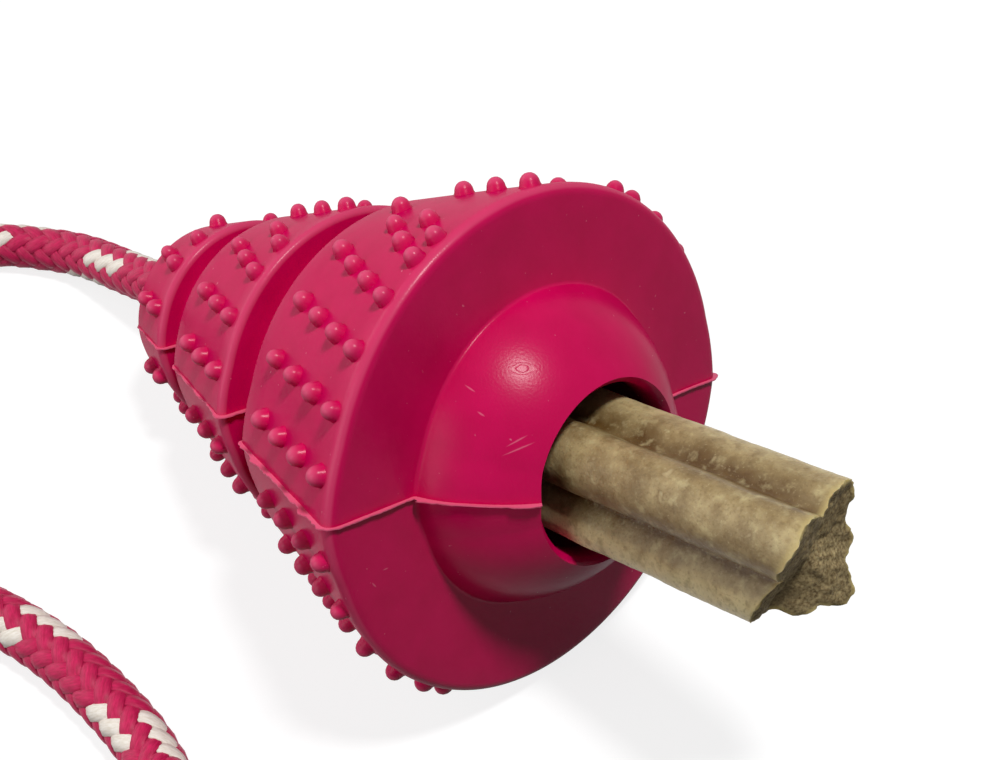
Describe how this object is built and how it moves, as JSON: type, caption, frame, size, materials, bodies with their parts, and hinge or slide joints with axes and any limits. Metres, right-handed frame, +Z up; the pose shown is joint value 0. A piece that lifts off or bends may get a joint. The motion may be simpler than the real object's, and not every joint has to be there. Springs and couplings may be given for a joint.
{
  "type": "rubber cone rope toy",
  "caption": "Stepped rubber cone chew toy for dogs with soft nubs, a domed mouth that holds a ridged treat stick, and a braided rope knotted through its small end.",
  "frame": {"origin": "on the floor, under the middle of the cone, the stick and the rope's neck; the free rope isn't counted", "axes": "+X horizontal, from the rope end towards the mouth; +Z up; the toy lies on its flank, so the cone's axis rises 15.4 degrees from +X"},
  "size_m": [0.2084, 0.1287, 0.0689],
  "materials": {
    "pink_rubber": "moulded natural rubber, satin sheen",
    "chew_treat": "dull starchy chew with a grainy skin",
    "braided_rope": "braided multifilament cord, crimson pink with cream picks",
    "rope_tail_seal": "the same braid, its end melted and sealed"
  },
  "bodies": {
    "toy_body": {"rubber_cone": "pink_rubber", "rope_stopper_knot": "braided_rope", "rope_neck": "braided_rope", "rope_lead": "braided_rope", "rope_end_knot": "braided_rope", "rope_tail": "rope_tail_seal"},
    "treat": {"treat_stick": "chew_treat"}
  },
  "joints": [
    {"name": "treat_slide", "type": "slide", "parent": "toy_body", "child": "treat", "axis": [0.9643, 0, 0.265], "range_m": [0, 0.05]}
  ]
}
